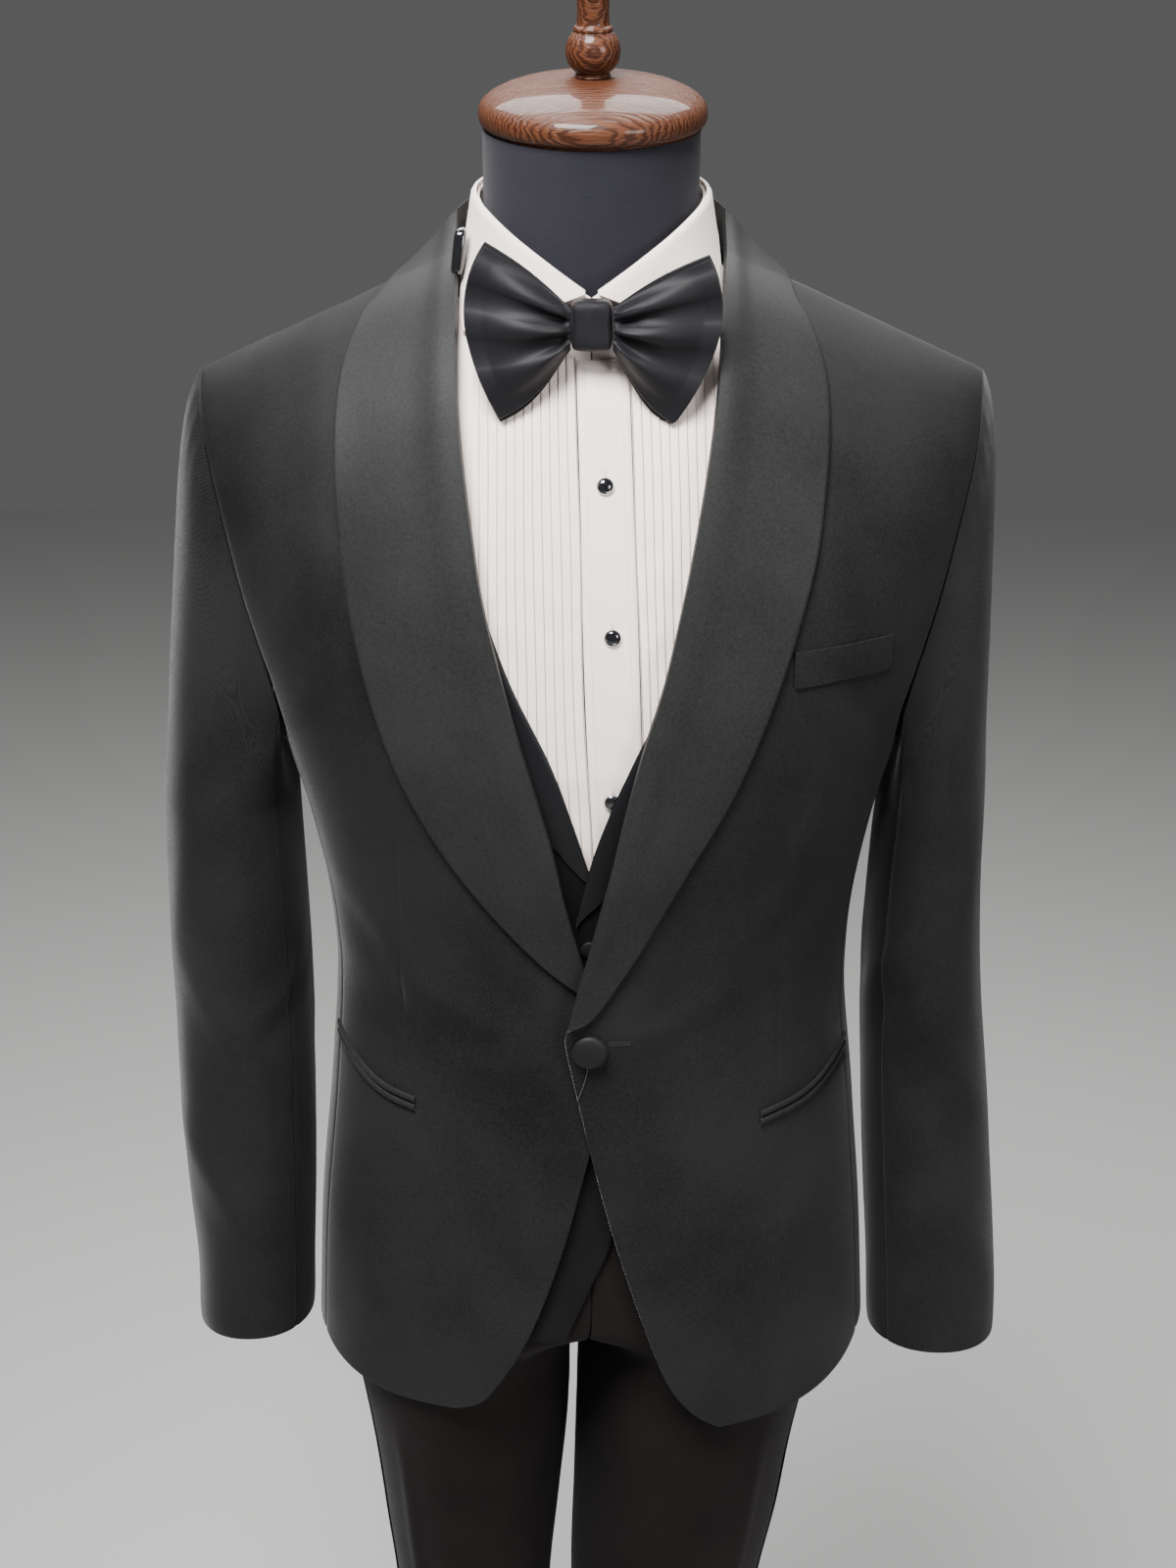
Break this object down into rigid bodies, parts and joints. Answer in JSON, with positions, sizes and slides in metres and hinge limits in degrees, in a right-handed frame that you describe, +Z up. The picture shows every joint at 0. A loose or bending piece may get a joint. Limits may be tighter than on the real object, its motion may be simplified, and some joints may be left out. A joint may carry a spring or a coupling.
{
  "type": "tuxedo on a dress form",
  "caption": "Dinner jacket with shawl collar, waistcoat, pin-tucked shirt, bow tie and trousers, worn by a limbless dress form on a round base.",
  "frame": {"origin": "centre of the round base on the floor", "axes": "+Z up, the front of the suit towards -Y, the wearer's left towards +X"},
  "size_m": [0.5481, 0.4, 1.7338],
  "materials": {
    "jacket_wool": "fine wool, matt",
    "shawl_satin": "satin, soft sheen",
    "shirt_cotton": "pressed cotton",
    "bow_satin": "dull satin",
    "waistcoat_cloth": "fine wool, matt",
    "waistcoat_satin": "satin",
    "trouser_wool": "fine wool, matt",
    "stripe_satin": "satin",
    "button_cloth": "satin-covered button",
    "stud_black": "polished black with a thin rim",
    "form_jersey": "stretched jersey",
    "form_wood": "red-brown varnish, glossy",
    "stand_steel": "satin steel"
  },
  "bodies": {
    "root": {"form_torso": "form_jersey", "form_neck_cap": "form_wood", "form_finial": "form_wood", "form_base": "stand_steel", "form_socket": "stand_steel", "form_pole": "stand_steel", "shirt_back": "shirt_cotton", "shirt_front_right": "shirt_cotton", "shirt_front_left": "shirt_cotton", "shirt_placket": "shirt_cotton", "shirt_collar_stand": "shirt_cotton", "shirt_collar_leaf": "shirt_cotton", "stud_1": "stud_black", "stud_2": "stud_black", "stud_3": "stud_black", "bow_wing_right": "bow_satin", "bow_wing_left": "bow_satin", "bow_knot": "bow_satin", "bow_neckband": "bow_satin", "trouser_front_right": "trouser_wool", "trouser_back_right": "trouser_wool", "trouser_stripe_right": "stripe_satin", "trouser_front_left": "trouser_wool", "trouser_back_left": "trouser_wool", "trouser_stripe_left": "stripe_satin", "trouser_waistband": "trouser_wool", "waistcoat_back": "waistcoat_cloth", "waistcoat_front_right": "waistcoat_cloth", "waistcoat_facing_right": "waistcoat_satin", "waistcoat_front_left": "waistcoat_cloth", "waistcoat_facing_left": "waistcoat_satin", "waistcoat_button_1": "button_cloth", "waistcoat_button_2": "button_cloth", "waistcoat_button_3": "button_cloth", "jacket_back_right": "jacket_wool", "jacket_back_left": "jacket_wool", "jacket_side_right": "jacket_wool", "jacket_side_left": "jacket_wool", "jacket_front_right": "jacket_wool", "jacket_front_left": "jacket_wool", "jacket_top_sleeve_right": "jacket_wool", "jacket_under_sleeve_right": "jacket_wool", "jacket_top_sleeve_left": "jacket_wool", "jacket_under_sleeve_left": "jacket_wool", "jacket_shawl_right": "shawl_satin", "jacket_shawl_left": "shawl_satin", "jacket_breast_welt": "jacket_wool", "pocket_jet_lower_right": "jacket_wool", "pocket_jet_upper_right": "jacket_wool", "pocket_jet_lower_left": "jacket_wool", "pocket_jet_upper_left": "jacket_wool", "jacket_button": "button_cloth"}
  },
  "joints": []
}
